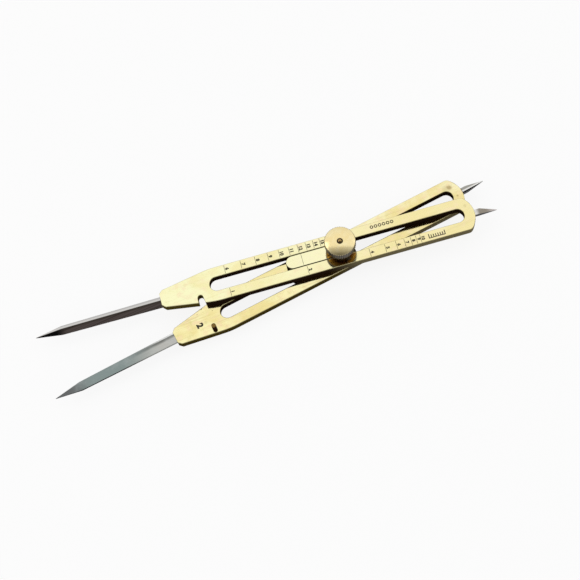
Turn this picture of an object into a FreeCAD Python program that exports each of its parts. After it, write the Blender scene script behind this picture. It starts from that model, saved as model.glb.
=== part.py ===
import FreeCAD, Part
import math
import os
import Sketcher

# Proportional divider. Millimetres, +Z up.
# The origin is on the pivot axis, on the underside of the screw's head, which the divider rests on.
# +X halves the angle between the legs and points from the long points to the short points.
# Each leg piece is drawn along its own leg: x runs from the long tip, z from the mating plane outwards.

driving_sizes = [
    ("overall_length", 229.0, "long tip to short tip of one leg"),
    ("set_ratio", 1.95, "long side over short side, as the slides are set"),
    ("opening", 12.23, "angle between the legs, degrees"),
    ("face_gap", 0.05, "running gap between flat faces that slide"),
    ("running_clearance", 0.05, "radial gap of a turning or keyed fit"),
    ("overrun", 1.0, "how far a cut reaches past the face that it starts from"),
    ("leg_width", 17.1, "across both rails"),
    ("leg_thickness", 4.5, "of the brass"),
    ("long_reach", 62.4, "brass nose to long tip"),
    ("short_reach", 11.3, "brass tail to short tip"),
    ("nose_width", 5.9, "flat end that the long point stands on"),
    ("nose_bevel_run", 1.6, "length of the nose's corner bevels"),
    ("nose_bevel_width", 9.0, "width where the bevels meet the taper"),
    ("nose_taper_run", 23.5, "length of the taper behind the bevels"),
    ("nose_corner", 0.6, "radius of the upright corners round the bevels"),
    ("taper_blend", 40.0, "radius where the taper meets the straight sides"),
    ("tail_bulge", 3.9, "how far the tail curves out past the straight sides"),
    ("tail_corner", 2.8, "radius where the tail meets the straight sides"),
    ("edge_break", 0.3, "rounding of the outer edges"),
    ("slot_width", 6.9, "between the rails"),
    ("nose_wall", 24.25, "brass nose to slot"),
    ("tail_wall", 5.1, "slot to brass tail"),
    ("notch_setback", 18.6, "brass nose to notch centre"),
    ("notch_width", 2.7, "of the locating notch"),
    ("notch_depth", 5.15, "from the leg's side"),
    ("notch_flare", 0.7, "how much its mouth widens towards the pivot"),
    ("pin_diameter", 2.2, "of the locating pin"),
    ("pin_height", 3.9, "how far it stands off the lower leg"),
    ("pin_edge", 0.3, "rounding of its top"),
    ("mark_width", 0.2, "of an engraved line"),
    ("mark_depth", 0.12, "of an engraved line"),
    ("mark_margin", 0.45, "from an engraved line's end to the rail's edge"),
    ("index_offset", 19.0, "pivot to the slide's index line"),
    ("tang_length", 9.0, "of a long point, inside the leg"),
    ("tang_diameter", 2.4, "of a long point"),
    ("tang_height", 1.75, "from the mating plane to the tang's axis"),
    ("root_width", 5.7, "of a long point where it leaves the leg"),
    ("root_flat", 5.0, "of its flat on the mating plane"),
    ("root_bevel", 0.6, "height of the bevels beside that flat"),
    ("root_ridge", 3.3, "mating plane to ridge"),
    ("shoulder_reach", 12.9, "long tip to the shoulder where it sharpens"),
    ("short_tang_length", 3.6, "of a short point, inside the leg"),
    ("short_tang_diameter", 2.0, "of a short point"),
    ("short_tang_height", 1.45, "from the mating plane to the tang's axis"),
    ("short_width", 2.8, "of a short point"),
    ("short_flat", 1.8, "of its flat on the mating plane"),
    ("short_bevel", 0.5, "height of the bevels beside that flat"),
    ("short_thickness", 2.8, "mating plane to outer face"),
    ("short_shank", 2.9, "brass tail to the shoulder where it sharpens"),
    ("short_lean", 0.7, "how far a short tip stands off the leg's middle, on the pin's side"),
    ("slide_clearance", 0.2, "each side of a slide, in its slot"),
    ("slide_edge", 0.3, "rounding of a slide's edges"),
    ("slide_relief", 0.1, "how much thinner a slide is than its leg"),
    ("slide_lead", 27.0, "pivot to the slide's end on the long side"),
    ("slide_tail", 4.0, "pivot to the slide's end on the short side"),
    ("head_diameter", 15.0, "of the screw's head"),
    ("head_thickness", 1.5, "of the screw's head"),
    ("head_bevel", 0.3, "around the head's lower edge"),
    ("neck_width", 4.4, "square neck that keys the lower slide"),
    ("shank_diameter", 4.0, "that the upper slide turns on"),
    ("thread_diameter", 2.6, "of the screw above its shank"),
    ("dome_height", 0.75, "of the screw's rounded end"),
    ("washer_diameter", 11.0, "under the knob"),
    ("washer_thickness", 0.8, "under the knob"),
    ("boss_diameter", 9.4, "of the knob's boss"),
    ("boss_height", 4.4, "of the knob's boss"),
    ("knob_diameter", 14.9, "over the knurls"),
    ("rim_thickness", 4.4, "of the knurled rim"),
    ("knob_bevel", 0.35, "of the rim's edges"),
    ("bore_bevel", 0.15, "of the knob's threaded hole"),
    ("knurl_depth", 0.35, "of a knurl groove"),
    ("knurl_width", 0.7, "of a knurl groove at its mouth"),
]

knurl_count = 54
line_divisions = range(1, 11)
circle_divisions = range(6, 21)

# The long point's section at its shoulder and its tip, as shares of its section at the root.
point_shoulder_share = 0.82
point_tip_share = 0.05
short_tip_share = 0.08

upper = 1
lower = -1

document = FreeCAD.newDocument("ProportionalDivider")
sheet = document.addObject("Spreadsheet::Sheet", "Sizes")
for row, (name, size, note) in enumerate(driving_sizes, 1):
    sheet.set(f"A{row}", name)
    sheet.set(f"B{row}", str(size))
    sheet.set(f"C{row}", note)
    sheet.setAlias(f"B{row}", name)
document.recompute()

# Places that several pieces share, as expressions on the sheet.
pivot = "(Sizes.overall_length * Sizes.set_ratio / (Sizes.set_ratio + 1))"
nose = "Sizes.long_reach"
tail = "(Sizes.overall_length - Sizes.short_reach)"
half_width = "(Sizes.leg_width / 2)"
half_slot = "(Sizes.slot_width / 2)"
half_slide = "(Sizes.slot_width / 2 - Sizes.slide_clearance)"
slide_thickness = "(Sizes.leg_thickness - Sizes.slide_relief)"
slot_start = "(Sizes.long_reach + Sizes.nose_wall)"
slot_end = "(Sizes.overall_length - Sizes.short_reach - Sizes.tail_wall)"
notch_place = "(Sizes.long_reach + Sizes.notch_setback)"
notch_centre = "(Sizes.notch_depth - Sizes.notch_width / 2 - Sizes.leg_width / 2)"

# Heights above the rest plane, from the bottom of the stack to its top.
lower_mating = "(Sizes.head_thickness + Sizes.face_gap + Sizes.leg_thickness)"
upper_mating = f"({lower_mating} + Sizes.face_gap)"
washer_base = f"({upper_mating} + Sizes.leg_thickness + Sizes.face_gap)"
knob_base = f"({washer_base} + Sizes.washer_thickness + Sizes.face_gap)"
knob_top = f"({knob_base} + Sizes.boss_height + Sizes.rim_thickness)"
shank_top = f"({upper_mating} + {slide_thickness} - Sizes.face_gap)"


def value(expression):
    return float(sheet.evalExpression(expression))


def negative(expression):
    return f"-({expression})"


# Sketches: every corner is held by two distances that follow the sheet.


def sketch_on(body, name, role, height=None):
    sketch = body.newObject("Sketcher::SketchObject", name)
    plane = next(item for item in body.Origin.OriginFeatures if item.Role == role)
    sketch.AttachmentSupport = [(plane, "")]
    sketch.MapMode = "FlatFace"
    if height is not None:
        sketch.setExpression("AttachmentOffset.Base.z", height)
    return sketch


def hold(sketch, kind, expression, *where):
    index = sketch.addConstraint(Sketcher.Constraint(kind, *where, value(expression)))
    sketch.setExpression(f"Constraints[{index}]", expression)


def hold_point(sketch, edge, end, x, y):
    hold(sketch, "DistanceX", x, edge, end)
    hold(sketch, "DistanceY", y, edge, end)


def draw_loop(sketch, corners, arcs=None):
    """Closed loop through the corners. An arc for the side after a corner: (middle x, middle y, hold)."""
    arcs = arcs or {}
    places = [FreeCAD.Vector(value(x), value(y), 0) for x, y in corners]
    edges = []
    for index, start in enumerate(places):
        end = places[(index + 1) % len(places)]
        if index in arcs:
            middle = FreeCAD.Vector(value(arcs[index][0]), value(arcs[index][1]), 0)
            arc = Part.Arc(start, middle, end)
            edges.append((sketch.addGeometry(arc), middle, start, end))
        else:
            edges.append((sketch.addGeometry(Part.LineSegment(start, end)), None, start, end))
    ends = []
    for edge, middle, start, end in edges:
        # An arc always runs anticlockwise, so its first point may be the end of its side.
        forward = middle is None or (middle - start).cross(end - middle).z > 0
        ends.append((1, 2) if forward else (2, 1))
    for index, (edge, middle, start, end) in enumerate(edges):
        following = (index + 1) % len(edges)
        link = (edge, ends[index][1], edges[following][0], ends[following][0])
        sketch.addConstraint(Sketcher.Constraint("Coincident", *link))
        hold_point(sketch, edge, ends[index][0], *corners[index])
        if index in arcs:
            arcs[index][2](sketch, edge)


def hold_radius(expression):
    return lambda sketch, edge: hold(sketch, "Radius", expression, edge)


def hold_centre(kind, expression):
    return lambda sketch, edge: hold(sketch, kind, expression, edge, 3)


def draw_circle(sketch, x, y, radius):
    centre = FreeCAD.Vector(value(x), value(y), 0)
    circle = Part.Circle(centre, FreeCAD.Vector(0, 0, 1), value(radius))
    edge = sketch.addGeometry(circle)
    hold_point(sketch, edge, 3, x, y)
    hold(sketch, "Radius", radius, edge)


def draw_long_hole(sketch, start, end, half):
    """Straight sides with half-round ends, along x."""
    left = f"({start} + {half})"
    right = f"({end} - {half})"
    below = negative(half)
    corners = [(left, below), (right, below), (right, half), (left, half)]
    arcs = {
        1: (end, "0", hold_centre("DistanceX", right)),
        3: (start, "0", hold_centre("DistanceX", left)),
    }
    draw_loop(sketch, corners, arcs)


def draw_rectangle(sketch, x0, x1, y0, y1):
    draw_loop(sketch, [(x0, y0), (x1, y0), (x1, y1), (x0, y1)])


# Features.


def new_body(name):
    return document.addObject("PartDesign::Body", name)


def pad(body, name, sketch, length, side=upper):
    feature = body.newObject("PartDesign::Pad", name)
    feature.Profile = sketch
    feature.setExpression("Length", length)
    feature.Reversed = side == lower
    document.recompute()
    return feature


def cut(body, name, sketch, depth=None, towards=lower):
    """Pocket: right through, or to a depth along the sketch's normal (upper) or against it (lower)."""
    before = body.Shape.Volume
    feature = body.newObject("PartDesign::Pocket", name)
    feature.Profile = sketch
    if depth is None:
        feature.Type = "ThroughAll"
        feature.SideType = "Symmetric"
    else:
        feature.setExpression("Length", depth)
        feature.Reversed = towards == upper
    document.recompute()
    if not body.Shape.Volume < before:
        raise RuntimeError(f"{feature.Label} cuts nothing")
    return feature


def revolve(body, name, sketch):
    feature = body.newObject("PartDesign::Revolution", name)
    feature.Profile = sketch
    feature.ReferenceAxis = (sketch, ["V_Axis"])
    feature.Angle = 360
    document.recompute()
    return feature


def round_edges(body, name, names, radius):
    base = body.Tip
    feature = body.newObject("PartDesign::Fillet", name)
    feature.Base = (base, names)
    feature.setExpression("Radius", radius)
    document.recompute()
    return feature


def upright_edges(body, places):
    """Names of the edges along z that stand at these places."""
    targets = [(value(x), value(y)) for x, y in places]
    tolerance = value("Sizes.edge_break")
    names = []
    for number, edge in enumerate(body.Shape.Edges, 1):
        middle = edge.CenterOfMass
        ends = [vertex.Point for vertex in edge.Vertexes]
        if len(ends) != 2 or math.dist(ends[0][:2], ends[1][:2]) > tolerance:
            continue
        if any(math.dist(middle[:2], target) < tolerance for target in targets):
            names.append(f"Edge{number}")
    return names


def flat_faces(body):
    """Names of the faces that lie square to z."""
    names = []
    for number, face in enumerate(body.Shape.Faces, 1):
        if isinstance(face.Surface, Part.Plane) and abs(face.normalAt(0, 0).z) == 1:
            names.append(f"Face{number}")
    return names


def place(item, height, swing=None, along=None):
    """Height over the rest plane. swing turns it with its leg; along is its x's start, before the pivot."""
    if swing is not None:
        item.Placement.Rotation = FreeCAD.Rotation(FreeCAD.Vector(0, 0, swing), 1)
        item.setExpression("Placement.Rotation.Angle", "Sizes.opening / 2 * 1 deg")
    if along is not None:
        turn = "(Sizes.opening / 2 * 1 deg)"
        item.setExpression("Placement.Base.x", f"-{along} * cos({turn}) * 1 mm")
        item.setExpression("Placement.Base.y", f"{-swing} * {along} * sin({turn}) * 1 mm")
    item.setExpression("Placement.Base.z", height)


# The lower leg is turned one way about the pivot and the upper leg the other, by half the opening each.
swing_of = {lower: 1, upper: -1}
mating_of = {lower: lower_mating, upper: upper_mating}
word_of = {lower: "lower", upper: "upper"}


# Legs


def make_leg(side):
    body = new_body(f"{word_of[side]}_leg")
    half_nose = "(Sizes.nose_width / 2)"
    half_bevel = "(Sizes.nose_bevel_width / 2)"
    bevel_end = f"({nose} + Sizes.nose_bevel_run)"
    taper_end = f"({bevel_end} + Sizes.nose_taper_run)"
    tail_start = f"({tail} - Sizes.tail_bulge)"
    tail_radius = f"(({half_width} ^ 2 + Sizes.tail_bulge ^ 2) / (2 * Sizes.tail_bulge))"
    outline = sketch_on(body, "Outline", "XY_Plane")
    corners = [
        (nose, negative(half_nose)),
        (bevel_end, negative(half_bevel)),
        (taper_end, negative(half_width)),
        (tail_start, negative(half_width)),
        (tail_start, half_width),
        (taper_end, half_width),
        (bevel_end, half_bevel),
        (nose, half_nose),
    ]
    draw_loop(outline, corners, {3: (tail, "0", hold_radius(tail_radius))})
    pad(body, "Plate", outline, "Sizes.leg_thickness", side)

    blends = [(taper_end, half_width), (taper_end, negative(half_width))]
    round_edges(body, "TaperBlend", upright_edges(body, blends), "Sizes.taper_blend")
    tail_ends = [(tail_start, half_width), (tail_start, negative(half_width))]
    round_edges(body, "TailCorners", upright_edges(body, tail_ends), "Sizes.tail_corner")
    nose_ends = [corners[index] for index in (0, 1, 6, 7)]
    round_edges(body, "NoseCorners", upright_edges(body, nose_ends), "Sizes.nose_corner")

    slot = sketch_on(body, "SlotOutline", "XY_Plane")
    draw_long_hole(slot, slot_start, slot_end, half_slot)
    cut(body, "Slot", slot)
    if side == upper:
        cut_notch(body)
    round_edges(body, "EdgeBreak", flat_faces(body), "Sizes.edge_break")

    cut_tang_hole(body, "LongTangHole", side, nose, upper, "tang")
    cut_tang_hole(body, "ShortTangHole", side, tail, lower, "short_tang")
    if side == upper:
        engrave_scales(body)
    else:
        hole = sketch_on(body, "PinHoleOutline", "XY_Plane")
        draw_circle(hole, notch_place, notch_centre, "(Sizes.pin_diameter / 2)")
        cut(body, "PinHole", hole)
    place(body, mating_of[side], swing_of[side], pivot)


def cut_notch(body):
    notch = sketch_on(body, "NotchOutline", "XY_Plane")
    left = f"({notch_place} - Sizes.notch_width / 2)"
    right = f"({notch_place} + Sizes.notch_width / 2)"
    mouth = f"(0 - {half_width} - Sizes.overrun)"
    corners = [
        (left, mouth),
        (f"({right} + Sizes.notch_flare)", mouth),
        (right, notch_centre),
        (left, notch_centre),
    ]
    top = f"({notch_centre} + Sizes.notch_width / 2)"
    draw_loop(notch, corners, {2: (notch_place, top, hold_centre("DistanceY", notch_centre))})
    cut(body, "Notch", notch)


def cut_tang_hole(body, name, side, mouth, towards, tang):
    hole = sketch_on(body, f"{name}Outline", "YZ_Plane", mouth)
    draw_circle(hole, "0", f"({side} * Sizes.{tang}_height)", f"(Sizes.{tang}_diameter / 2)")
    cut(body, name, hole, f"Sizes.{tang}_length", towards)


def engrave_scales(body):
    # A line at division n sets the divider to n times; a circle at division n steps off a circle in n parts.
    inner = f"({half_slot} + Sizes.mark_margin)"
    outer = f"({half_width} - Sizes.mark_margin)"
    lines = sketch_on(body, "LineScale", "XY_Plane", "Sizes.leg_thickness")
    for division in line_divisions:
        middle = f"(Sizes.overall_length * {division} / ({division} + 1) - Sizes.index_offset)"
        draw_mark(lines, middle, negative(outer), negative(inner))
    cut(body, "LineMarks", lines, "Sizes.mark_depth")
    circles = sketch_on(body, "CircleScale", "XY_Plane", "Sizes.leg_thickness")
    for division in circle_divisions:
        chord_share = f"(1 / (2 * sin(180 deg / {division})))"
        middle = f"(Sizes.overall_length * {chord_share} / ({chord_share} + 1) - Sizes.index_offset)"
        draw_mark(circles, middle, inner, outer)
    cut(body, "CircleMarks", circles, "Sizes.mark_depth")


def draw_mark(sketch, middle, y0, y1):
    draw_rectangle(sketch, f"({middle} - Sizes.mark_width / 2)", f"({middle} + Sizes.mark_width / 2)", y0, y1)


# Points


def section(body, name, role_height, side, width, flat, bevel, crown, share, lean="0"):
    """Flat on the mating plane, a bevel each side, then up to the crown: a ridge, or a second flat."""
    sketch = sketch_on(body, name, "YZ_Plane", role_height)
    half = f"({share} * {width} / 2)"
    half_flat = f"({share} * {flat} / 2)"
    rise = f"({side} * {share} * {bevel})"
    top = f"({side} * {share} * {crown[0]})"
    corners = [(negative(half_flat), "0"), (half_flat, "0"), (half, rise)]
    if crown[1] == "ridge":
        corners.append(("0", top))
    else:
        corners.extend([(half, top), (negative(half), top)])
    corners.append((negative(half), rise))
    draw_loop(sketch, [(f"({across} - {lean})", height) for across, height in corners])
    return sketch


def loft(body, name, sections):
    feature = body.newObject("PartDesign::AdditiveLoft", name)
    feature.Profile = sections[0]
    feature.Sections = sections[1:]
    feature.Ruled = True
    document.recompute()
    return feature


def add_tang(body, side, root, towards, tang):
    sketch = sketch_on(body, "TangOutline", "YZ_Plane", root)
    draw_circle(sketch, "0", f"({side} * Sizes.{tang}_height)", f"(Sizes.{tang}_diameter / 2)")
    pad(body, "Tang", sketch, f"Sizes.{tang}_length", towards)


def make_long_point(side):
    body = new_body(f"{word_of[side]}_long_point")
    sizes = ("Sizes.root_width", "Sizes.root_flat", "Sizes.root_bevel", ("Sizes.root_ridge", "ridge"))
    root = section(body, "Root", nose, side, *sizes, 1)
    shoulder = section(body, "Shoulder", "Sizes.shoulder_reach", side, *sizes, point_shoulder_share)
    tip = section(body, "Tip", "0", side, *sizes, point_tip_share)
    loft(body, "Blade", [root, shoulder])
    loft(body, "Sharpening", [shoulder, tip])
    add_tang(body, side, nose, upper, "tang")
    place(body, mating_of[side], swing_of[side], pivot)


def make_short_point(side):
    body = new_body(f"{word_of[side]}_short_point")
    sizes = ("Sizes.short_width", "Sizes.short_flat", "Sizes.short_bevel", ("Sizes.short_thickness", "flat"))
    shoulder_place = f"({tail} + Sizes.short_shank)"
    root = section(body, "Root", tail, side, *sizes, 1)
    pad(body, "Shank", root, "Sizes.short_shank")
    shoulder = section(body, "Shoulder", shoulder_place, side, *sizes, 1)
    tip = section(body, "Tip", "Sizes.overall_length", side, *sizes, short_tip_share, "Sizes.short_lean")
    loft(body, "Sharpening", [shoulder, tip])
    add_tang(body, side, tail, lower, "short_tang")
    place(body, mating_of[side], swing_of[side], pivot)


# Slides: x runs from the pivot.


def make_slide(side):
    body = new_body(f"{word_of[side]}_slide")
    outline = sketch_on(body, "Outline", "XY_Plane")
    draw_long_hole(outline, negative("Sizes.slide_lead"), "Sizes.slide_tail", half_slide)
    pad(body, "Block", outline, slide_thickness, side)
    round_edges(body, "EdgeBreak", flat_faces(body), "Sizes.slide_edge")
    hole = sketch_on(body, "HoleOutline", "XY_Plane")
    if side == upper:
        draw_circle(hole, "0", "0", "(Sizes.shank_diameter / 2 + Sizes.running_clearance)")
    else:
        half = "(Sizes.neck_width / 2 + Sizes.running_clearance)"
        draw_rectangle(hole, negative(half), half, negative(half), half)
    cut(body, "Hole", hole)
    if side == upper:
        index = sketch_on(body, "IndexOutline", "XY_Plane", slide_thickness)
        reach = f"({half_slide} - Sizes.mark_margin)"
        draw_mark(index, negative("Sizes.index_offset"), negative(reach), reach)
        cut(body, "IndexLine", index, "Sizes.mark_depth")
    place(body, mating_of[side], swing_of[side])


# Pivot screw: a round head, a square neck, a plain shank and a threaded end with a dome.


def make_screw():
    body = new_body("pivot_screw")
    profile = sketch_on(body, "Profile", "XZ_Plane")
    head = "(Sizes.head_diameter / 2)"
    shank = "(Sizes.shank_diameter / 2)"
    thread = "(Sizes.thread_diameter / 2)"
    dome_top = f"({knob_top} + Sizes.dome_height)"
    corners = [
        ("0", "0"),
        (f"({head} - Sizes.head_bevel)", "0"),
        (head, "Sizes.head_bevel"),
        (head, "Sizes.head_thickness"),
        (shank, "Sizes.head_thickness"),
        (shank, shank_top),
        (thread, shank_top),
        (thread, knob_top),
        ("0", dome_top),
    ]
    # The dome is the part of a ball that has this radius.
    ball = f"(({thread} ^ 2 + Sizes.dome_height ^ 2) / (2 * Sizes.dome_height))"
    ball_centre = f"({dome_top} - {ball})"
    lift = f"({ball_centre} + {ball} * cos(asin({thread} / 2 / {ball})))"
    dome = (f"({thread} / 2)", lift, hold_centre("DistanceY", ball_centre))
    draw_loop(profile, corners, {7: dome})
    revolve(body, "Turned", profile)
    neck = sketch_on(body, "NeckOutline", "XY_Plane", "Sizes.head_thickness")
    half = "(Sizes.neck_width / 2)"
    draw_rectangle(neck, negative(half), half, negative(half), half)
    pad(body, "Neck", neck, "Sizes.leg_thickness")
    place(body, "0", swing_of[lower])


# Clamp: washer and knob


def make_washer():
    outer = document.addObject("Part::Cylinder", "WasherDisc")
    outer.setExpression("Radius", "Sizes.washer_diameter / 2")
    outer.setExpression("Height", "Sizes.washer_thickness")
    inner = document.addObject("Part::Cylinder", "WasherHole")
    inner.setExpression("Radius", "Sizes.thread_diameter / 2 + Sizes.running_clearance")
    inner.setExpression("Height", "Sizes.washer_thickness + 2 * Sizes.overrun")
    inner.setExpression("Placement.Base.z", "-Sizes.overrun")
    washer = document.addObject("Part::Cut", "clamp_washer")
    washer.Base = outer
    washer.Tool = inner
    place(washer, washer_base)


def make_knob():
    body = new_body("clamp_knob")
    profile = sketch_on(body, "Profile", "XZ_Plane")
    bore = "(Sizes.thread_diameter / 2 + Sizes.running_clearance)"
    boss = "(Sizes.boss_diameter / 2)"
    rim = "(Sizes.knob_diameter / 2)"
    rim_top = "(Sizes.boss_height + Sizes.rim_thickness)"
    corners = [
        (bore, "0"),
        (f"({boss} - Sizes.knob_bevel)", "0"),
        (boss, "Sizes.knob_bevel"),
        (boss, "Sizes.boss_height"),
        (f"({rim} - Sizes.knob_bevel)", "Sizes.boss_height"),
        (rim, "(Sizes.boss_height + Sizes.knob_bevel)"),
        (rim, f"({rim_top} - Sizes.knob_bevel)"),
        (f"({rim} - Sizes.knob_bevel)", rim_top),
        (f"({bore} + Sizes.bore_bevel)", rim_top),
        (bore, f"({rim_top} - Sizes.bore_bevel)"),
    ]
    draw_loop(profile, corners)
    revolve(body, "Turned", profile)
    groove = sketch_on(body, "KnurlOutline", "XY_Plane", "(Sizes.boss_height - Sizes.overrun)")
    depth_line = f"({rim} - Sizes.knurl_depth)"
    half_mouth = "(Sizes.knurl_width / 2)"
    # The groove's sides go on to one overrun past the rim at the same slope.
    spread = f"({half_mouth} * (Sizes.knurl_depth + Sizes.overrun) / Sizes.knurl_depth)"
    past = f"({rim} + Sizes.overrun)"
    draw_loop(groove, [(depth_line, "0"), (past, negative(spread)), (past, spread)])
    knurl = cut(body, "Knurl", groove, "(Sizes.rim_thickness + 2 * Sizes.overrun)", upper)
    one_groove = body.Shape.Volume
    pattern = body.newObject("PartDesign::PolarPattern", "Knurls")
    pattern.Originals = [knurl]
    pattern.Axis = (groove, ["N_Axis"])
    pattern.Angle = 360
    pattern.Occurrences = knurl_count
    body.Tip = pattern
    document.recompute()
    if not body.Shape.Volume < one_groove:
        raise RuntimeError("the knurls cut nothing")
    place(body, knob_base)


# Locating pin on the lower leg


def make_register_pin():
    body = new_body("register_pin")
    profile = sketch_on(body, "Profile", "XZ_Plane")
    radius = "(Sizes.pin_diameter / 2)"
    foot = negative("Sizes.leg_thickness")
    corners = [
        ("0", foot),
        (radius, foot),
        (radius, "(Sizes.pin_height - Sizes.pin_edge)"),
        (f"({radius} - Sizes.pin_edge)", "Sizes.pin_height"),
        ("0", "Sizes.pin_height"),
    ]
    draw_loop(profile, corners)
    revolve(body, "Turned", profile)
    # The pin stands beside the leg's axis, so its place is turned with the leg.
    turn = "(Sizes.opening / 2 * 1 deg)"
    behind = f"({notch_place} - {pivot})"
    body.setExpression("Placement.Base.x", f"({behind} * cos({turn}) - {notch_centre} * sin({turn})) * 1 mm")
    body.setExpression("Placement.Base.y", f"({behind} * sin({turn}) + {notch_centre} * cos({turn})) * 1 mm")
    body.setExpression("Placement.Base.z", lower_mating)


for leg_side in (lower, upper):
    make_leg(leg_side)
    make_long_point(leg_side)
    make_short_point(leg_side)
    make_slide(leg_side)
make_screw()
make_washer()
make_knob()
make_register_pin()
document.recompute()

for item in document.Objects:
    if "Invalid" in item.State or "Error" in item.State:
        raise RuntimeError(f"{item.Label} failed: {item.State}")

nodes = [item for item in document.Objects if item.TypeId in ("PartDesign::Body", "Part::Cut")]
for node in nodes:
    if node.Shape.isNull() or not node.Shape.isValid():
        raise RuntimeError(f"{node.Label} has no sound shape")

os.makedirs("parts", exist_ok=True)
for node in nodes:
    node.Shape.exportStep(f"parts/{node.Label}.step")
    print(f"{node.Label}: {len(node.Shape.Solids)} solid, {node.Shape.Volume:.1f} mm3")
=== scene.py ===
import math

import bmesh
import bpy
from mathutils import Matrix, Vector


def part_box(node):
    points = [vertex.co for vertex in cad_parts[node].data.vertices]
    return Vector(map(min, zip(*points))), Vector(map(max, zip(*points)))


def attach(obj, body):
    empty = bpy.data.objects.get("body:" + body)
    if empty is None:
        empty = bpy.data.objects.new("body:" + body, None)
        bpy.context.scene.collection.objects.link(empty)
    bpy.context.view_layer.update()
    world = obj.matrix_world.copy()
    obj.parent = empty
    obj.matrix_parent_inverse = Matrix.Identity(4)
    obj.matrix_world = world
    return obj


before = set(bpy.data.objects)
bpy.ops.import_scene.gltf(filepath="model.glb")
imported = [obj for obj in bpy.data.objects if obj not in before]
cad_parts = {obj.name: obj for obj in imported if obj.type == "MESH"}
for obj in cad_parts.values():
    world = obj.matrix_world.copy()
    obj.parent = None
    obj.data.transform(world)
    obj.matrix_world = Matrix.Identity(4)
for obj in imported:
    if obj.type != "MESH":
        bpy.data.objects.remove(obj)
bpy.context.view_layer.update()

# Lengths in metres. A place on a leg is given along it from the long tip and across it from its middle line.

divider = {
    "length": 0.229,
    "setRatio": 1.95,
    "opening": 12.23,
    "indexOffset": 0.019,
    "markWidth": 0.0002,
    "markDepth": 0.00012,
    "legWidth": 0.0171,
    "slotWidth": 0.0069,
    "slideWidth": 0.0065,
    "markMargin": 0.00045,
}
pivotAlong = divider["length"] * divider["setRatio"] / (divider["setRatio"] + 1)
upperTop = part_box("upper_leg")[1].z
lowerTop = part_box("lower_leg")[1].z
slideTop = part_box("upper_slide")[1].z
halfOpening = math.radians(divider["opening"] / 2)
legTurn = {"upper": -halfOpening, "lower": halfOpening}


def legMatrix(leg, height):
    return Matrix.Rotation(legTurn[leg], 4, "Z") @ Matrix.Translation((-pivotAlong, 0, height))


# Shader building: a Wire is a socket that adds up, and node() makes every node that isn't plain sums.

class Wire:
    def __init__(self, tree, socket=None):
        self.tree = tree
        self.socket = socket

    def node(self, kind, settings=None, inputs=None, output=0):
        made = self.tree.nodes.new(kind)
        for name, setting in (settings or {}).items():
            setattr(made, name, setting)
        for name, value in (inputs or {}).items():
            if isinstance(value, Wire):
                self.tree.links.new(value.socket, made.inputs[name])
            else:
                made.inputs[name].default_value = value
        return Wire(self.tree, made.outputs[output])

    def sums(self, operation, first, second=0.0):
        return self.node("ShaderNodeMath", {"operation": operation}, {0: first, 1: second})

    def __add__(self, other):
        return self.sums("ADD", self, other)

    def __radd__(self, other):
        return self.sums("ADD", other, self)

    def __sub__(self, other):
        return self.sums("SUBTRACT", self, other)

    def __rsub__(self, other):
        return self.sums("SUBTRACT", other, self)

    def __mul__(self, other):
        return self.sums("MULTIPLY", self, other)

    def __rmul__(self, other):
        return self.sums("MULTIPLY", other, self)

    def __pow__(self, other):
        return self.sums("POWER", self, other)

    def __abs__(self):
        return self.sums("ABSOLUTE", self)


def newMaterial(name):
    material = bpy.data.materials.new(name)
    material.use_nodes = True
    material.node_tree.nodes.clear()
    return material, Wire(material.node_tree)


def finish(build, surface):
    out = build.tree.nodes.new("ShaderNodeOutputMaterial")
    build.tree.links.new(surface.socket, out.inputs["Surface"])


def ease(value, low, high):  # 0 below low, 1 above high, smooth between
    settings = {"interpolation_type": "SMOOTHSTEP", "clamp": True}
    return value.node("ShaderNodeMapRange", settings, {"Value": value, "From Min": low, "From Max": high})


def blendColour(factor, first, second):  # sockets 6, 7 and output 2 are the Mix node's colours
    settings = {"data_type": "RGBA", "clamp_factor": True}
    return factor.node("ShaderNodeMix", settings, {0: factor, 6: first, 7: second}, 2)


def objectPlace(build, turn=0.0, stretch=(1, 1, 1)):
    place = build.node("ShaderNodeTexCoord", None, None, "Object")
    inputs = {"Vector": place, "Rotation": (0, 0, turn), "Scale": stretch}
    return build.node("ShaderNodeMapping", None, inputs)


def noise(build, place, scale, detail=2.0, roughness=0.5, distortion=0.0):
    inputs = {"Vector": place, "Scale": scale, "Detail": detail}
    inputs.update({"Roughness": roughness, "Distortion": distortion})
    return build.node("ShaderNodeTexNoise", None, inputs)


def facing(build, axis=2):  # how a face looks along an axis of the object: 1 that way, 0 across, -1 back
    normal = build.node("ShaderNodeTexCoord", None, None, "Normal")
    return build.node("ShaderNodeSeparateXYZ", None, {0: normal}, axis)


def parts(build, place):  # x, y and z of a place
    split = build.tree.nodes.new("ShaderNodeSeparateXYZ")
    build.tree.links.new(place.socket, split.inputs[0])
    return [Wire(build.tree, split.outputs[index]) for index in range(3)]


def bump(build, height, distance, under=None):  # under: the normal that this one is added to
    inputs = {"Strength": 1.0, "Distance": distance, "Height": height}
    if under is not None:
        inputs["Normal"] = under
    return build.node("ShaderNodeBump", None, inputs)


def metal(build, colour, roughness, normal, metallic, dullShine=0.5):  # dullShine: of unmetallic parts
    inputs = {"Base Color": colour, "Roughness": roughness, "Metallic": metallic, "Normal": normal}
    inputs["Specular IOR Level"] = dullShine
    finish(build, build.node("ShaderNodeBsdfPrincipled", None, inputs))


def dress(node, material):
    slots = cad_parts[node].data.materials
    slots.clear()
    slots.append(material)


# Brass of the legs and slides. A pair of numbers is where an ease begins and ends.

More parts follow.
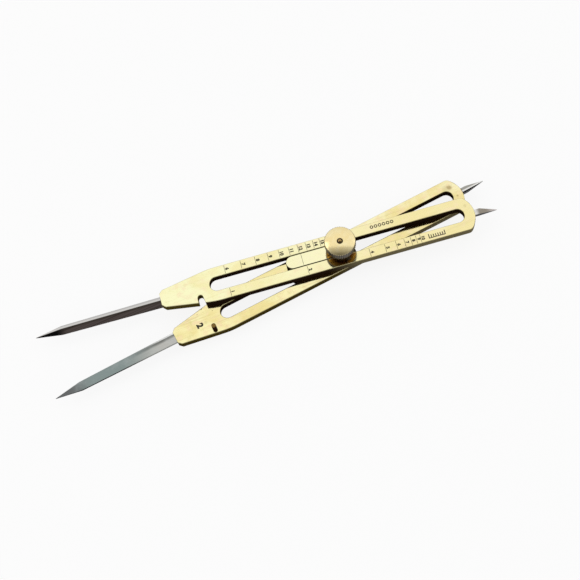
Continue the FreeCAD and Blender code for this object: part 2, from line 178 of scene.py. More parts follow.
legLooks = {
    "upper": {
        "face": (0.99, 0.975, 0.60, 1),
        "tail": (0.95, 0.85, 0.47, 1),
        "warm": (0.92, 0.79, 0.36, 1),
        "green": (0.80, 0.79, 0.36, 1),
        "rosy": (0.97, 0.80, 0.52, 1),
        "nearEdgeShade": (0.36, 0.31, 0.14, 1),
        "noseSideShade": (0.068, 0.050, 0.010, 1),
        "noseSideTo": 0.0825,
        "mottle": 0.55,
        "edging": 0.8,
        "spots": 0.5,
        "streaks": 0.22,
        "stains": [(0.2124, 0.0011, 0.0007, 0.3), (0.2142, 0.0041, 0.0012, 0.2)],
    },
    "lower": {
        "face": (0.995, 0.925, 0.50, 1),
        "tail": (0.985, 0.92, 0.56, 1),
        "warm": (0.88, 0.73, 0.30, 1),
        "green": (0.72, 0.66, 0.28, 1),
        "rosy": (0.96, 0.76, 0.45, 1),
        "nearEdgeShade": (0.36, 0.31, 0.14, 1),
        "noseSideShade": (0.047, 0.032, 0.005, 1),
        "noseSideTo": 0.15,
        "mottle": 0.8,
        "edging": 0.8,
        "spots": 0.8,
        "streaks": 0.5,
        "stains": [
            (0.2117, 0.0042, 0.0034, 0.22),
            (0.2132, 0.0045, 0.0018, 0.55),
            (0.2145, -0.0014, 0.0009, 0.5),
            (0.0838, 0.0035, 0.00028, 0.85),
            (0.0765, 0.0052, 0.0003, 0.7),
            (0.0785, -0.0002, 0.0011, 0.18),
        ],
    },
    "slide": {
        "face": (0.985, 0.95, 0.60, 1),
        "tail": (0.98, 0.94, 0.58, 1),
        "warm": (0.96, 0.88, 0.50, 1),
        "green": (0.85, 0.87, 0.48, 1),
        "rosy": (0.98, 0.87, 0.62, 1),
        "nearEdgeShade": (0.03, 0.018, 0.007, 1),
        "noseSideShade": (0.016, 0.008, 0.004, 1),
        "noseSideTo": 0.0,
        "mottle": 0.4,
        "edging": 1.0,
        "spots": 0.15,
        "streaks": 0.1,
        "stains": [],
    },
    # painted shade on the edge roundings
    "farEdgeShade": (0.36, 0.31, 0.14, 1),
    # painted shade on faces looking down
    "under": (0.50, 0.40, 0.18, 1),
    "hair": (0.45, 0.36, 0.12, 1),
    "streak": (0.60, 0.47, 0.20, 1),
    "stain": (0.30, 0.22, 0.07, 1),
    "spot": (0.10, 0.075, 0.03, 1),
    # painted shade on the upright sides: near black, olive at the tail, and brass where they look to the far
    # side
    "side": (0.016, 0.008, 0.004, 1),
    "tailSideShade": (0.15, 0.125, 0.068, 1),
    "sideFar": (0.42, 0.33, 0.14, 1),
    "tailAlong": (0.09, 0.19),
    "sideTailAlong": (0.142, 0.162),
    "slotFrom": 0.0866,
    "slotEase": 0.002,
    "noseSideEase": 0.001,
    "sideMargin": 0.001,
    "edgeAcross": (-0.001, 0.001),
    "cloudScale": 55,
    "cloudSpan": (0.42, 0.66),
    "patchScale": 420,
    "patchSpan": (0.52, 0.74),
    "patchShare": 0.6,
    "blushScale": 230,
    "blushStretch": (1, 1.6, 3),
    "blushSpan": (0.5, 0.68),
    "hairStretch": (28, 2600, 1),
    "hairSpan": (0.55, 0.8),
    "hairShare": 0.16,
    "crossStretch": (60, 2100, 1),
    "crossTurn": 1.1,
    "streakStretch": (34, 620, 1),
    "streakTurn": 0.12,
    "streakSpan": (0.52, 0.76),
    "spotScale": 120,
    "spotSize": (0.02, 0.055),
    "spotPick": (0.86, 0.88),
    "stainFray": 1.6,
    "stainCore": 0.3,
    "gloss": 0.07,
    "cloudRough": 0.07,
    "cloudRoughSpan": (0.35, 0.8),
    "hairRough": 0.06,
    "hairRoughSpan": (0.5, 0.9),
    "sideRough": 0.3,
    "hairDepth": 0.6,
    "crossDepth": 0.4,
    "patchDepth": 0.25,
    "scratchDepth": 0.000004,
    "lookingDown": (0.3, 0.9),
    "lookingUp": (0.25, 0.72),
    "flatBelow": (0.9, 0.985),
    "flatAny": (0.86, 0.985),
    "lookingFar": (0.2, 0.6),
}


def sideTone(build, look, fromTip, y):  # painted shade on upright sides: outer ones dark, olive-brown at the nose and olive at the tail, slot walls dark; those looking to the far side stay brass
    near = divider["slotWidth"] / 2 + legLooks["sideMargin"]
    outer = ease(abs(y), near, divider["legWidth"] / 2 - legLooks["sideMargin"])
    slotFrom = legLooks["slotFrom"]
    outer = 1 - (1 - outer) * ease(fromTip, slotFrom - legLooks["slotEase"], slotFrom)
    noseTo = look["noseSideTo"]
    pastNose = ease(fromTip, noseTo - legLooks["noseSideEase"], noseTo + legLooks["noseSideEase"])
    side = blendColour((1 - pastNose) * outer, legLooks["side"], look["noseSideShade"])
    side = blendColour(ease(fromTip, *legLooks["sideTailAlong"]) * outer, side, legLooks["tailSideShade"])
    return blendColour(ease(facing(build, 1), *legLooks["lookingFar"]), side, legLooks["sideFar"])


def legBrass(name, look, turn):
    material, build = newMaterial(name)
    along = objectPlace(build, turn)
    x, y = parts(build, along)[:2]
    fromTip = x + pivotAlong
    blushPlace = objectPlace(build, turn, legLooks["blushStretch"])
    hairPlace = objectPlace(build, turn, legLooks["hairStretch"])
    crossPlace = objectPlace(build, turn + legLooks["crossTurn"], legLooks["crossStretch"])
    streakPlace = objectPlace(build, turn + legLooks["streakTurn"], legLooks["streakStretch"])
    # Clouds are 10 to 20 mm across, patches 1 to 3 mm, hairs scratches down the leg, streaks faint rubs.
    cloud = noise(build, along, legLooks["cloudScale"], detail=4, roughness=0.6, distortion=0.6)
    patch = noise(build, along, legLooks["patchScale"], detail=3, roughness=0.65)
    blush = noise(build, blushPlace, legLooks["blushScale"], detail=3, roughness=0.6)
    hairs = noise(build, hairPlace, 1.0, detail=2, roughness=0.7)
    crossed = noise(build, crossPlace, 1.0, detail=2, roughness=0.6)
    streaks = noise(build, streakPlace, 1.0, detail=3, roughness=0.65, distortion=0.3)

    colour = blendColour(ease(fromTip, *legLooks["tailAlong"]), look["face"], look["tail"])
    colour = blendColour(ease(cloud, *legLooks["cloudSpan"]) * look["mottle"], colour, look["warm"])
    patches = ease(patch, *legLooks["patchSpan"]) * look["mottle"] * legLooks["patchShare"]
    colour = blendColour(patches, colour, look["green"])
    colour = blendColour(ease(blush, *legLooks["blushSpan"]) * look["mottle"], colour, look["rosy"])
    hairline = ease(hairs, *legLooks["hairSpan"]) * legLooks["hairShare"]
    colour = blendColour(hairline, colour, legLooks["hair"])
    streak = ease(streaks, *legLooks["streakSpan"]) * look["streaks"]
    colour = blendColour(streak, colour, legLooks["streak"])

    cellInputs = {"Vector": along, "Scale": legLooks["spotScale"], "Randomness": 1}
    cells = build.node("ShaderNodeTexVoronoi", {"feature": "F1"}, cellInputs)
    tint = build.node("ShaderNodeTexVoronoi", {"feature": "F1"}, cellInputs, "Color")
    pick = build.node("ShaderNodeSeparateColor", None, {0: tint})
    spot = (1 - ease(cells, *legLooks["spotSize"])) * ease(pick, *legLooks["spotPick"]) * look["spots"]
    colour = blendColour(spot, colour, legLooks["spot"])
    for place, across, size, strength in look["stains"]:  # along, across, radius and share of a stain
        away = ((x + (pivotAlong - place)) ** 2 + (y - across) ** 2) ** 0.5
        away = away + (patch - 0.5) * size * legLooks["stainFray"]
        inside = 1 - ease(away, size * legLooks["stainCore"], size)
        colour = blendColour(inside * strength, colour, legLooks["stain"])

    up = facing(build)
    # painted shade: faces looking down take the darker under colour
    colour = blendColour(ease(-1 * up, *legLooks["lookingDown"]), colour, legLooks["under"])
    # painted shade along the edge roundings: olive on the legs, black along the slide's near edge as the
    # shadow of its gap
    edge = blendColour(ease(y, *legLooks["edgeAcross"]), look["nearEdgeShade"], legLooks["farEdgeShade"])
    colour = blendColour((1 - ease(abs(up), *legLooks["flatAny"])) * look["edging"], colour, edge)
    # painted shade on the upright sides
    upright = 1 - ease(up, *legLooks["lookingUp"]) - ease(-1 * up, *legLooks["flatBelow"])
    colour = blendColour(upright, colour, sideTone(build, look, fromTip, y))
    rough = legLooks["gloss"] + ease(cloud, *legLooks["cloudRoughSpan"]) * legLooks["cloudRough"]
    rough = rough + ease(hairs, *legLooks["hairRoughSpan"]) * legLooks["hairRough"]
    rough = rough + upright * legLooks["sideRough"]
    height = hairs * legLooks["hairDepth"] + crossed * legLooks["crossDepth"]
    height = height + patch * legLooks["patchDepth"]
    metal(build, colour, rough, bump(build, height, legLooks["scratchDepth"]), 1 - upright, 0.0)
    return material


print("stage: brass")
for leg in ("upper", "lower"):
    dress(f"{leg}_leg", legBrass(f"{leg}LegBrass", legLooks[leg], -legTurn[leg]))
    dress(f"{leg}_slide", legBrass(f"{leg}SlideBrass", legLooks["slide"], -legTurn[leg]))


# Turned brass of the knob, the washer, the screw and the pin

turnedLooks = {
    "knob": {
        "face": (0.94, 0.77, 0.39, 1),
        "pale": (0.98, 0.87, 0.54, 1),
        # painted shade: the sides, the grooves, and the underside with its rim
        "side": (0.07, 0.05, 0.032, 1),
        "groove": (0.010, 0.005, 0.002, 1),
        "under": (0.07, 0.03, 0.008, 1),
        "underRim": (0.24, 0.14, 0.045, 1),
        "gloss": 0.12,
        "flat": (0.55, 0.93),
        "sidePolish": 0.6,
        "dullShine": 0.1,
    },
    "screw": {
        "face": (0.36, 0.24, 0.09, 1),
        "pale": (0.58, 0.43, 0.18, 1),
        # painted shade on the sides
        "side": (0.035, 0.017, 0.006, 1),
        "under": (0.50, 0.36, 0.15, 1),
        "underRim": (0.50, 0.36, 0.15, 1),
        "gloss": 0.09,
        "flat": (0.74, 0.985),
        "sidePolish": 0.8,
        "dullShine": 0.5,
    },
    "pin": {
        "face": (0.20, 0.125, 0.034, 1),
        "pale": (0.50, 0.38, 0.10, 1),
        # painted shade on the pin's side and underside
        "side": (0.022, 0.009, 0.006, 1),
        "under": (0.10, 0.05, 0.02, 1),
        "underRim": (0.10, 0.05, 0.02, 1),
        "gloss": 0.24,
        "flat": (0.3, 0.62),
        "sidePolish": 0.0,
        "dullShine": 0.0,
    },
    "ringScale": 9000,
    "ringDepth": 0.000006,
    "ringSpan": (0.5, 0.8),
    "ringShare": 0.2,
    "cloudScale": 260,
    "cloudSpan": (0.4, 0.7),
    "cloudShare": 0.6,
    "grainScale": 1400,
    "grainSpan": (0.4, 0.8),
    "grainDepth": 0.5,
    "grainRough": 0.08,
    "sideRough": 0.12,
    "underAcross": (0.0052, 0.0068),
    "lookingDown": (0.3, 0.9),
    "knobRim": 0.00745,
    "grooveFoot": 0.00025,
    "grooveLip": 0.00003,
    "knobCrown": 25.0,
}


def turnedBrass(name, look, centre=(0, 0), rim=None, crown=0.0):
    material, build = newMaterial(name)
    place = objectPlace(build)
    x, y = parts(build, place)[:2]
    radius = ((x - centre[0]) ** 2 + (y - centre[1]) ** 2) ** 0.5
    ringInputs = {"W": radius * turnedLooks["ringScale"], "Scale": 1.0, "Detail": 2}
    rings = build.node("ShaderNodeTexNoise", {"noise_dimensions": "1D"}, ringInputs)
    cloud = noise(build, place, turnedLooks["cloudScale"], detail=3, roughness=0.6, distortion=0.4)
    grain = noise(build, place, turnedLooks["grainScale"], detail=2, roughness=0.6)
    clouds = ease(cloud, *turnedLooks["cloudSpan"]) * turnedLooks["cloudShare"]
    colour = blendColour(clouds, look["face"], look["pale"])
    ringed = ease(rings, *turnedLooks["ringSpan"]) * turnedLooks["ringShare"]
    colour = blendColour(ringed, colour, look["side"])
    up = facing(build)
    # faces looking down take the under colours; on the knob and pin these are painted shade, dark, with a
    # brown ring towards the knob's rim
    under = blendColour(ease(radius, *turnedLooks["underAcross"]), look["under"], look["underRim"])
    colour = blendColour(ease(-1 * up, *turnedLooks["lookingDown"]), colour, under)
    # painted shade: upright sides take the dark side colour on the knob, washer, screw and pin
    upright = 1 - ease(abs(up), *look["flat"])
    side = look["side"]
    if rim:  # painted shade, darker down in the knurling's grooves
        crest = ease(radius, rim - turnedLooks["grooveFoot"], rim - turnedLooks["grooveLip"])
        side = blendColour(crest, look["groove"], look["side"])
    colour = blendColour(upright, colour, side)
    rough = look["gloss"] + ease(grain, *turnedLooks["grainSpan"]) * turnedLooks["grainRough"]
    rough = rough + upright * turnedLooks["sideRough"]
    normal = bump(build, rings + grain * turnedLooks["grainDepth"], turnedLooks["ringDepth"])
    if crown:  # its end face shines as if a little domed
        normal = bump(build, radius * radius * -crown, 1.0, normal)
    metallic = 1 - upright * (1 - look["sidePolish"])
    metal(build, colour, rough, normal, metallic, look["dullShine"])
    return material


print("stage: turned brass")
pinLow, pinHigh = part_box("register_pin")
pinCentre = ((pinLow.x + pinHigh.x) / 2, (pinLow.y + pinHigh.y) / 2)
knobBrass = turnedBrass(
    "knobBrass", turnedLooks["knob"], rim=turnedLooks["knobRim"], crown=turnedLooks["knobCrown"],
)
dress("clamp_knob", knobBrass)
dress("clamp_washer", turnedBrass("washerBrass", turnedLooks["screw"]))
dress("pivot_screw", turnedBrass("screwBrass", turnedLooks["screw"]))
dress("register_pin", turnedBrass("pinBrass", turnedLooks["pin"], pinCentre))


# Steel of the points

steelLooks = {
    # painted reflections on the flat: a shade band and a highlight line at the root
    "root": (0.52, 0.515, 0.48, 1),
    "rootShade": (0.19, 0.19, 0.175, 1),
    "rootShine": (0.86, 0.86, 0.84, 1),
    "middle": (0.25, 0.305, 0.295, 1),
    "tip": (0.14, 0.145, 0.145, 1),
    "facet": (0.60, 0.585, 0.56, 1),
    # painted reflections on the slopes: a darker band on the far one, black at the tip, painted shade on the
    # near one, darkest along the ridge
    "facetBandShade": (0.42, 0.41, 0.40, 1),
    "facetTipShade": (0.004, 0.004, 0.004, 1),
    "nearFacetShade": (0.087, 0.070, 0.065, 1),
    "ridgeShade": (0.055, 0.045, 0.038, 1),
    "groove": (0.026, 0.020, 0.017, 1),
    # painted shade on the steep sides, with a painted highlight towards the root of the lower long point
    "side": (0.010, 0.009, 0.008, 1),
    "sideRootShine": (0.34, 0.34, 0.32, 1),
    # the lower short point's flat: grey, with a painted highlight on its near strip
    "shortFar": (0.34, 0.33, 0.29, 1),
    "shortNearShine": (0.82, 0.81, 0.78, 1),
    "shortRoot": (0.80, 0.78, 0.74, 1),
    "shortMiddle": (0.28, 0.25, 0.205, 1),
    "shortTip": (0.56, 0.51, 0.50, 1),
    "cloud": (0.62, 0.66, 0.66, 1),
    "grind": (0.16, 0.17, 0.17, 1),
    "shadeAcross": (0.0, 0.0014),
    "shineAcross": (0.0018, 0.0021),
    "shineAlong": (0.044, 0.060),
    "rootAlong": (0.032, 0.058),
    "tipAlong": (0.006, 0.02),
    "bandAcross": (0.0012, 0.0017),
    "bandShare": 0.8,
    "ridgeAcross": (-0.0009, -0.0006),
    "slopeAcross": (-0.00005, 0.00025),
    "blackAlong": (0.010, 0.016),
    "blackAcross": (-0.0003, 0.0001),
    "sideRootAlong": (0.034, 0.052),
    "shortEdgeAcross": (-0.0004, 0.0001),
    "shortBevelAcross": (-0.0002, 0.0002),
    "shortTipAlong": (0.0005, 0.006),
    "shortRootAlong": (0.0085, 0.0107),
    "grooveStretch": (14, 2600, 1),
    "grooveSpan": (0.5, 0.62),
    "grooveShare": 0.6,
    "grindStretch": (90, 3200, 3200),
    "grindSpan": (0.5, 0.8),
    "grindShare": 0.25,
    "cloudScale": 130,
    "cloudSpan": (0.45, 0.75),
    "cloudShare": 0.25,
    "lying": (0.93, 0.99),
    "steep": (0.56, 0.68),
    "gloss": 0.13,
    "grindRough": 0.06,
    "grindRoughSpan": (0.4, 0.8),
    "lyingRough": 0.15,
    "sideShine": 0.1,
    "grindDepth": 0.000003,
    "facetMiddle": 0.0013,
    "facetCrown": 27.0,
}


def longColour(build, x, y, lying):  # painted reflections: the lying flat darkens from root to tip, with a painted shade band and a painted highlight line at its root; the near slope has painted shade, darkest along the ridge and black at the tip, and the far one a darker band
    fromTip = x + pivotAlong
    root = blendColour(ease(y, *steelLooks["shadeAcross"]), steelLooks["root"], steelLooks["rootShade"])
    shine = ease(y, *steelLooks["shineAcross"]) * ease(fromTip, *steelLooks["shineAlong"])
    root = blendColour(shine, root, steelLooks["rootShine"])
    flat = blendColour(ease(fromTip, *steelLooks["rootAlong"]), steelLooks["middle"], root)
    flat = blendColour(1 - ease(fromTip, *steelLooks["tipAlong"]), flat, steelLooks["tip"])
    band = ease(y, *steelLooks["bandAcross"]) * steelLooks["bandShare"]
    slope = blendColour(band, steelLooks["facet"], steelLooks["facetBandShade"])
    # painted shade of the near slope, darker along the ridge
    ridge = ease(y, *steelLooks["ridgeAcross"])
    warm = blendColour(ridge, steelLooks["nearFacetShade"], steelLooks["ridgeShade"])
    grooves = objectPlace(build, -legTurn["upper"], steelLooks["grooveStretch"])
    grooves = ease(noise(build, grooves, 1.0, detail=1, roughness=0.5), *steelLooks["grooveSpan"])
    warm = blendColour(grooves * steelLooks["grooveShare"], warm, steelLooks["groove"])
    slope = blendColour(1 - ease(y, *steelLooks["slopeAcross"]), slope, warm)
    alongTip = 1 - ease(fromTip, *steelLooks["blackAlong"])
    slope = blendColour(alongTip * (1 - ease(y, *steelLooks["blackAcross"])), slope, steelLooks["facetTipShade"])
    return blendColour(lying, slope, flat)


def shortColour(leg, x, y, lying):
    fromTip = divider["length"] - pivotAlong - x
    if leg == "lower":  # painted highlight: a bright strip along the near part of the flat, grey beyond it, and painted shade on the near bevel
        flat = ease(y, *steelLooks["shortEdgeAcross"])
        flat = blendColour(flat, steelLooks["shortNearShine"], steelLooks["shortFar"])
        bevel = ease(y, *steelLooks["shortBevelAcross"])
        bevel = blendColour(bevel, steelLooks["side"], steelLooks["shortFar"])
        return blendColour(lying, bevel, flat)
    flat = ease(fromTip, *steelLooks["shortTipAlong"])
    flat = blendColour(flat, steelLooks["shortTip"], steelLooks["shortMiddle"])
    return blendColour(ease(fromTip, *steelLooks["shortRootAlong"]), flat, steelLooks["shortRoot"])


def pointSteel(name, leg, longPoint):
    material, build = newMaterial(name)
    turn = -legTurn[leg]
    along = objectPlace(build, turn)
    x, y = parts(build, along)[:2]
    grindPlace = objectPlace(build, turn, steelLooks["grindStretch"])
    grind = noise(build, grindPlace, 1.0, detail=3, roughness=0.7)
    cloud = noise(build, along, steelLooks["cloudScale"], detail=3, roughness=0.6)
    level = abs(facing(build))
    lying = ease(level, *steelLooks["lying"])
    upright = 1 - ease(level, *steelLooks["steep"])
    if longPoint:
        colour = longColour(build, x, y, lying)
    else:
        colour = shortColour(leg, x, y, lying)
    clouds = ease(cloud, *steelLooks["cloudSpan"]) * steelLooks["cloudShare"] * lying
    colour = blendColour(clouds, colour, steelLooks["cloud"])
    grinds = ease(grind, *steelLooks["grindSpan"]) * steelLooks["grindShare"] * lying
    colour = blendColour(grinds, colour, steelLooks["grind"])
    # painted shade on the steep sides; on the lower long point a painted highlight lightens them towards the
    # root
    side = steelLooks["side"]
    if longPoint and leg == "lower":
        side = blendColour(ease(x + pivotAlong, *steelLooks["sideRootAlong"]), side, steelLooks["sideRootShine"])
    colour = blendColour(upright, colour, side)
    rough = steelLooks["gloss"] + ease(grind, *steelLooks["grindRoughSpan"]) * steelLooks["grindRough"]
    rough = rough + lying * steelLooks["lyingRough"]
    normal = bump(build, grind, steelLooks["grindDepth"])
    if longPoint:  # its slopes shine as if ground a little round
        away = abs(y) - steelLooks["facetMiddle"]
        crown = away * away * -steelLooks["facetCrown"] * (1 - lying)
        normal = bump(build, crown, 1.0, normal)
    metal(build, colour, rough, normal, 1 - upright, steelLooks["sideShine"])
    return material


print("stage: steel")
for leg in ("upper", "lower"):
    dress(f"{leg}_long_point", pointSteel(f"{leg}LongSteel", leg, True))
    dress(f"{leg}_short_point", pointSteel(f"{leg}ShortSteel", leg, False))


# Engraving: dark filling in the scale lines, figures beside them, and plain signs

engraving = {
    "circleFigureHeight": 0.0016,
    "lineFigureHeight": 0.00148,
    "figureGap": 0.00034,
    "figureWeight": 0.062,
    "standProud": 0.000012,
    "sunk": 0.00003,
    "lineDivisions": range(1, 11),
    "circleDivisions": range(6, 21),
    "filling": (0.055, 0.045, 0.016, 1),
    "indexFilling": (0.42, 0.42, 0.27, 1),
    "fillingShade": 0.45,
    "figureRough": 0.5,
    "indexRough": 0.4,
    "grainScale": 2600,
    "grainSpan": (0.35, 0.75),
    "grainRough": 0.2,
    "grainDepth": 0.00001,
    "capShare": 0.7,
    "curveSteps": 3,
}
railMiddle = (divider["legWidth"] + divider["slotWidth"]) / 4


def fillingMaterial(name, colour, rough):
    material, build = newMaterial(name)
    grain = noise(build, objectPlace(build), engraving["grainScale"], detail=2, roughness=0.6)
    dark = tuple(channel * engraving["fillingShade"] for channel in colour[:3]) + (1,)
    shade = blendColour(ease(grain, *engraving["grainSpan"]), dark, colour)
    rough = rough + grain * engraving["grainRough"]
    metal(build, shade, rough, bump(build, grain, engraving["grainDepth"]), 0.0)
    return material


figureFilling = fillingMaterial("figureFilling", engraving["filling"], engraving["figureRough"])
indexFilling = fillingMaterial("indexFilling", engraving["indexFilling"], engraving["indexRough"])


def meshPiece(name, form, material, body):
    mesh = bpy.data.meshes.new(name)
    form.to_mesh(mesh)
    form.free()
    piece = bpy.data.objects.new(name, mesh)
    bpy.context.scene.collection.objects.link(piece)
    mesh.materials.append(material)
    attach(piece, body)
    return piece


def addBlock(form, x0, x1, y0, y1, z0, z1, matrix):
    corners = [(x, y, z) for z in (z0, z1) for x, y in ((x0, y0), (x1, y0), (x1, y1), (x0, y1))]
    spots = [form.verts.new(matrix @ Vector(corner)) for corner in corners]
    for face in ((3, 2, 1, 0), (4, 5, 6, 7), (0, 1, 5, 4), (1, 2, 6, 5), (2, 3, 7, 6), (3, 0, 4, 7)):
        form.faces.new([spots[index] for index in face])


def addFigures(form, words, matrix, height, thick):
    curve = bpy.data.curves.new("figures", "FONT")
    curve.body = words
    curve.align_x = "CENTER"
    curve.align_y = "BOTTOM_BASELINE"
    curve.size = height / engraving["capShare"]
    curve.extrude = thick / 2
    curve.offset = engraving["figureWeight"] * curve.size
    curve.resolution_u = engraving["curveSteps"]
    holder = bpy.data.objects.new("figures", curve)
    bpy.context.scene.collection.objects.link(holder)
    bpy.context.view_layer.update()
    mesh = bpy.data.meshes.new_from_object(holder)
    mesh.transform(matrix)
    form.from_mesh(mesh)
    bpy.data.objects.remove(holder)
    bpy.data.curves.remove(curve)
    bpy.data.meshes.remove(mesh)


def addRing(form, centre, radius, width, z0, z1, matrix, sides=20):
    inner = radius - width / 2
    outer = radius + width / 2
    rows = []
    for reach, height in ((inner, z0), (inner, z1), (outer, z1), (outer, z0)):
        row = []
        for step in range(sides):
            angle = 2 * math.pi * step / sides
            x = centre[0] + reach * math.cos(angle)
            y = centre[1] + reach * math.sin(angle)
            row.append(form.verts.new(matrix @ Vector((x, y, height))))
        rows.append(row)
    for index, row in enumerate(rows):
        above = rows[(index + 1) % len(rows)]
        for step in range(sides):
            after = (step + 1) % sides
            form.faces.new((row[step], above[step], above[after], row[after]))


def scalePlace(chord):  # along the leg, where the index line stands for this ratio
    return divider["length"] * chord / (chord + 1) - divider["indexOffset"]


def figureSpin(along, across):  # figures stand across the leg, with their feet towards the long tip
    return Matrix.Translation((along, across, 0)) @ Matrix.Rotation(-math.pi / 2, 4, "Z")


def scaleMarks(name, divisions, side, figureHeight, chordOf):
    onLeg = legMatrix("upper", upperTop)
    lines = bmesh.new()
    figures = bmesh.new()
    inner = divider["slotWidth"] / 2 + divider["markMargin"]
    outer = divider["legWidth"] / 2 - divider["markMargin"]
    low, high = sorted((side * inner, side * outer))
    half = divider["markWidth"] / 2
    thick = 2 * engraving["standProud"]
    for division in divisions:
        place = scalePlace(chordOf(division))
        left, right = place - half, place + half
        addBlock(lines, left, right, low, high, -divider["markDepth"], -engraving["sunk"], onLeg)
        spin = figureSpin(right + engraving["figureGap"], side * railMiddle)
        addFigures(figures, str(division), onLeg @ spin, figureHeight, thick)
    meshPiece(f"{name}_lines", lines, figureFilling, "upper_leg")
    meshPiece(f"{name}_figures", figures, figureFilling, "upper_leg")


def lineChord(division):  # the line scale's divisions are ratios already
    return division


def circleChord(division):  # the radius of a circle over its side, when it is cut into so many parts
    return 1 / (2 * math.sin(math.pi / division))


print("stage: engraving")
scaleMarks("line_scale", engraving["lineDivisions"], -1, engraving["lineFigureHeight"], lineChord)
scaleMarks("circle_scale", engraving["circleDivisions"], 1, engraving["circleFigureHeight"], circleChord)

signs = {
    "ringsFrom": 0.1685,
    "ringsTo": 0.1785,
    "ringCount": 6,
    "ringRadius": 0.00066,
    "ringsAcross": 0.0064,
    "ruleFrom": 0.1930,
    "ruleTo": 0.2012,
    "ruleAcross": -0.0071,
    "tickCount": 8,
    "tickReach": 0.0014,
    "endTickShare": 1.4,
    "strokeWidth": 0.00042,
    "legFigureAlong": 0.0740,
    "legFigureAcross": -0.0004,
    "legFigureHeight": 0.0029,
}


def circleSign():  # a row of rings names the circle scale
    form = bmesh.new()
    onLeg = legMatrix("upper", upperTop)
    lift = engraving["standProud"]
    for index in range(signs["ringCount"]):
        share = index / (signs["ringCount"] - 1)
        along = signs["ringsFrom"] + share * (signs["ringsTo"] - signs["ringsFrom"])
        centre = (along, signs["ringsAcross"])
        addRing(form, centre, signs["ringRadius"], signs["strokeWidth"], -lift, lift, onLeg)
    return meshPiece("circle_scale_sign", form, figureFilling, "upper_leg")


def lineSign():  # a ruled line with ticks names the line scale
    form = bmesh.new()
    onLeg = legMatrix("upper", upperTop)
    lift = engraving["standProud"]
    half = signs["strokeWidth"] / 2
    across = signs["ruleAcross"]
    addBlock(form, signs["ruleFrom"], signs["ruleTo"], across - half, across + half, -lift, lift, onLeg)
    last = signs["tickCount"] - 1
    for index in range(signs["tickCount"]):
        along = signs["ruleFrom"] + half + index / last * (signs["ruleTo"] - signs["ruleFrom"] - 2 * half)
        reach = signs["tickReach"] * (signs["endTickShare"] if index in (0, last) else 1)
        foot = across + half
        addBlock(form, along - half, along + half, foot, foot + reach, -lift, lift, onLeg)
    return meshPiece("line_scale_sign", form, figureFilling, "upper_leg")


def legFigure():  # a plain figure on the lower leg
    form = bmesh.new()
    spin = figureSpin(signs["legFigureAlong"], signs["legFigureAcross"])
    onLeg = legMatrix("lower", lowerTop) @ spin
    addFigures(form, "2", onLeg, signs["legFigureHeight"], 2 * engraving["standProud"])
    return meshPiece("lower_leg_figure", form, figureFilling, "lower_leg")


def indexFill():  # the slide's index line
    form = bmesh.new()
    onSlide = Matrix.Rotation(legTurn["upper"], 4, "Z") @ Matrix.Translation((0, 0, slideTop))
    half = divider["markWidth"] / 2
    left, right = -divider["indexOffset"] - half, -divider["indexOffset"] + half
    reach = divider["slideWidth"] / 2 - divider["markMargin"]
    addBlock(form, left, right, -reach, reach, -divider["markDepth"], -engraving["sunk"], onSlide)
    return meshPiece("index_line_fill", form, indexFilling, "upper_slide")


circleSign()
lineSign()
legFigure()
indexFill()


# Stage: floor, lamps, camera

studio = {
    "floorSize": 30.0,
    "floorColour": (0.95, 0.95, 0.95, 1),
    "floorGrain": (0.965, 0.965, 0.965, 1),
    "floorGrainScale": 30,
    "floorWhite": 0.87,
    "sky": 0.98,
    "horizon": 0.62,
    "front": 0.05,
    "frontTop": 0.62,
    "skyRise": (0.0, 0.8),
    "rimGlow": (0.14, 0.3),
    "cardTurn": 21.2,
    "cardEdge": (-0.11, -0.09),
    "cardSides": (0.75, 0.95),
    "cardFoot": (0.62, 0.78),
    "cardFade": (-0.12, 0.42),
    "lampPower": 2.5,
    "lampSize": 1.0,
    "lampPlace": (-1.05, 0.45, 0.9),
    "fillPower": 1.6,
    "fillSize": 0.9,
    "fillPlace": (1.2, -0.15, 0.75),
    "cameraPlace": (-0.06055, -0.20781, 0.54004),
    "cameraTurn": (20.198, 4.641, -21.221),
    "lens": 74.483,
    "sensor": 36.0,
    "seenFrom": 0.01,
    "seenTo": 100,
}


def floorMaterial():  # partly white by itself where the camera, a shine or a see-through part looks at it
    material, build = newMaterial("paleFloor")
    grain = noise(build, objectPlace(build), studio["floorGrainScale"], detail=2)
    paint = blendColour(grain, studio["floorColour"], studio["floorGrain"])
    matt = build.node("ShaderNodeBsdfDiffuse", None, {"Color": paint})
    white = build.node("ShaderNodeEmission", None, {"Color": (1, 1, 1, 1), "Strength": 1.0})
    seen = build.node("ShaderNodeLightPath", None, None, "Is Camera Ray")
    for kind in ("Is Glossy Ray", "Is Transmission Ray"):
        seen = build.sums("MAXIMUM", seen, build.node("ShaderNodeLightPath", None, None, kind))
    mixed = build.node("ShaderNodeMixShader", None, {0: seen * studio["floorWhite"], 1: matt, 2: white})
    finish(build, mixed)
    return material


def makeFloor():
    half = studio["floorSize"] / 2
    mesh = bpy.data.meshes.new("floor")
    corners = [(-half, -half, 0), (half, -half, 0), (half, half, 0), (-half, half, 0)]
    mesh.from_pydata(corners, [], [(0, 1, 2, 3)])
    mesh.materials.append(floorMaterial())
    floor = bpy.data.objects.new("floor", mesh)
    bpy.context.scene.collection.objects.link(floor)


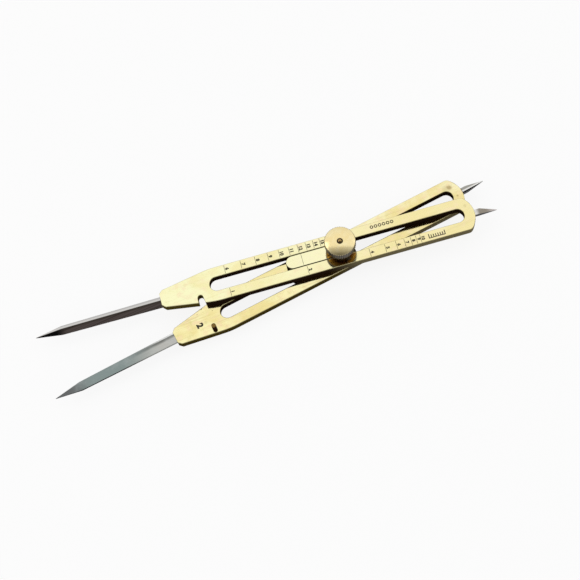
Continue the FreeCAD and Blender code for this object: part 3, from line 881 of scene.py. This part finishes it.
def makeSky():  # white at the floor's rim, dimmer above it, bright overhead, a dark card on the near side
    world = bpy.data.worlds.new("studio")
    bpy.context.scene.world = world
    world.use_nodes = True
    world.node_tree.nodes.clear()
    build = Wire(world.node_tree)
    x, y, z = parts(build, build.node("ShaderNodeTexCoord", None, None, "Generated"))
    level = studio["horizon"] + ease(z, *studio["skyRise"]) * (studio["sky"] - studio["horizon"])
    level = level + (1 - ease(z, *studio["rimGlow"])) * (studio["sky"] - level)
    turn = math.radians(studio["cardTurn"])
    near = x * -math.sin(turn) - y * math.cos(turn)
    across = x * math.cos(turn) - y * math.sin(turn)
    card = ease(near, *studio["cardEdge"]) * (1 - ease(abs(across), *studio["cardSides"]))
    card = card * ease(z, *studio["cardFoot"])
    cardFade = ease(near, *studio["cardFade"]) * (studio["frontTop"] - studio["front"])
    level = level - card * (level - (studio["frontTop"] - cardFade))
    light = build.node("ShaderNodeBackground", None, {"Color": (1, 1, 1, 1), "Strength": level})
    out = world.node_tree.nodes.new("ShaderNodeOutputWorld")
    world.node_tree.links.new(light.socket, out.inputs["Surface"])


def makeLamp(name, power, size, place):
    lamp = bpy.data.lights.new(name, "AREA")
    lamp.energy = power
    lamp.size = size
    holder = bpy.data.objects.new(name, lamp)
    holder.location = place
    holder.rotation_euler = (-Vector(place)).to_track_quat("-Z", "Y").to_euler()
    bpy.context.scene.collection.objects.link(holder)


def makeCamera():
    lens = bpy.data.cameras.new("camera")
    lens.lens = studio["lens"]
    lens.sensor_width = studio["sensor"]
    lens.clip_start = studio["seenFrom"]
    lens.clip_end = studio["seenTo"]
    camera = bpy.data.objects.new("camera", lens)
    camera.location = studio["cameraPlace"]
    camera.rotation_euler = [math.radians(angle) for angle in studio["cameraTurn"]]
    bpy.context.scene.collection.objects.link(camera)
    bpy.context.scene.camera = camera


print("stage: studio")
makeFloor()
makeSky()
makeLamp("softLamp", studio["lampPower"], studio["lampSize"], studio["lampPlace"])
makeLamp("fillLamp", studio["fillPower"], studio["fillSize"], studio["fillPlace"])
makeCamera()
bpy.context.scene.view_settings.view_transform = "Standard"
